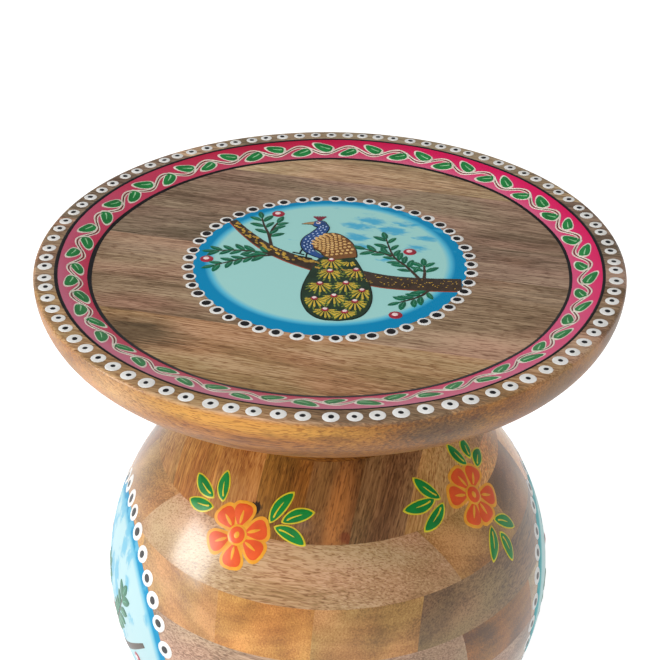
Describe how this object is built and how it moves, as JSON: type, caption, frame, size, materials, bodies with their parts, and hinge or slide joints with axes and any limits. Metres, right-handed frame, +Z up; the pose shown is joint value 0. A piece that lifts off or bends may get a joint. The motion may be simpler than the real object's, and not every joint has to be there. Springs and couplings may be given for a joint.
{
  "type": "coffee table",
  "caption": "Low round coffee table: a painted tray top with a bowl-rounded edge on a short neck and a ball-shaped foot, glued up from crossed wooden planks and turned.",
  "frame": {"origin": "centre of the foot's flat, on the floor", "axes": "+Z up along the turning axis; +X along the grain of the top's boards; the picture looks from -Y, turned 14 degrees towards +X"},
  "size_m": [0.45, 0.45, 0.4509],
  "materials": {
    "tray_top_wood": "edge-glued mango boards under satin lacquer, painted border and medallion",
    "pedestal_wood": "cross-glued mango planks, turned, under satin lacquer with painted flowers",
    "dowel_wood": "plain hardwood rod, glued in"
  },
  "bodies": {
    "root": {"ball_course_1_plank_1": "pedestal_wood", "ball_course_1_plank_2": "pedestal_wood", "ball_course_1_plank_3": "pedestal_wood", "ball_course_1_plank_4": "pedestal_wood", "ball_course_2_plank_1": "pedestal_wood", "ball_course_2_plank_2": "pedestal_wood", "ball_course_2_plank_3": "pedestal_wood", "ball_course_2_plank_4": "pedestal_wood", "ball_course_2_plank_5": "pedestal_wood", "ball_course_3_plank_1": "pedestal_wood", "ball_course_3_plank_2": "pedestal_wood", "ball_course_3_plank_3": "pedestal_wood", "ball_course_3_plank_4": "pedestal_wood", "ball_course_3_plank_5": "pedestal_wood", "ball_course_4_plank_1": "pedestal_wood", "ball_course_4_plank_2": "pedestal_wood", "ball_course_4_plank_3": "pedestal_wood", "ball_course_4_plank_4": "pedestal_wood", "ball_course_4_plank_5": "pedestal_wood", "ball_course_4_plank_6": "pedestal_wood", "ball_course_5_plank_1": "pedestal_wood", "ball_course_5_plank_2": "pedestal_wood", "ball_course_5_plank_3": "pedestal_wood", "ball_course_5_plank_4": "pedestal_wood", "ball_course_5_plank_5": "pedestal_wood", "ball_course_6_plank_1": "pedestal_wood", "ball_course_6_plank_2": "pedestal_wood", "ball_course_6_plank_3": "pedestal_wood", "ball_course_6_plank_4": "pedestal_wood", "ball_course_6_plank_5": "pedestal_wood", "ball_course_7_plank_1": "pedestal_wood", "ball_course_7_plank_2": "pedestal_wood", "ball_course_7_plank_3": "pedestal_wood", "ball_course_7_plank_4": "pedestal_wood", "ball_course_7_plank_5": "pedestal_wood", "ball_course_8_plank_1": "pedestal_wood", "ball_course_8_plank_2": "pedestal_wood", "ball_course_8_plank_3": "pedestal_wood", "ball_course_8_plank_4": "pedestal_wood", "ball_course_8_plank_5": "pedestal_wood", "ball_course_8_plank_6": "pedestal_wood", "ball_course_8_plank_7": "pedestal_wood", "ball_course_8_plank_8": "pedestal_wood", "centre_dowel": "dowel_wood", "neck_course_1_plank_1": "pedestal_wood", "neck_course_1_plank_2": "pedestal_wood", "neck_course_1_plank_3": "pedestal_wood", "neck_course_2_plank_1": "pedestal_wood", "neck_course_2_plank_2": "pedestal_wood", "neck_course_2_plank_3": "pedestal_wood", "top_board_1": "tray_top_wood", "top_board_2": "tray_top_wood", "top_board_3": "tray_top_wood", "top_board_4": "tray_top_wood", "top_board_5": "tray_top_wood"}
  },
  "joints": []
}
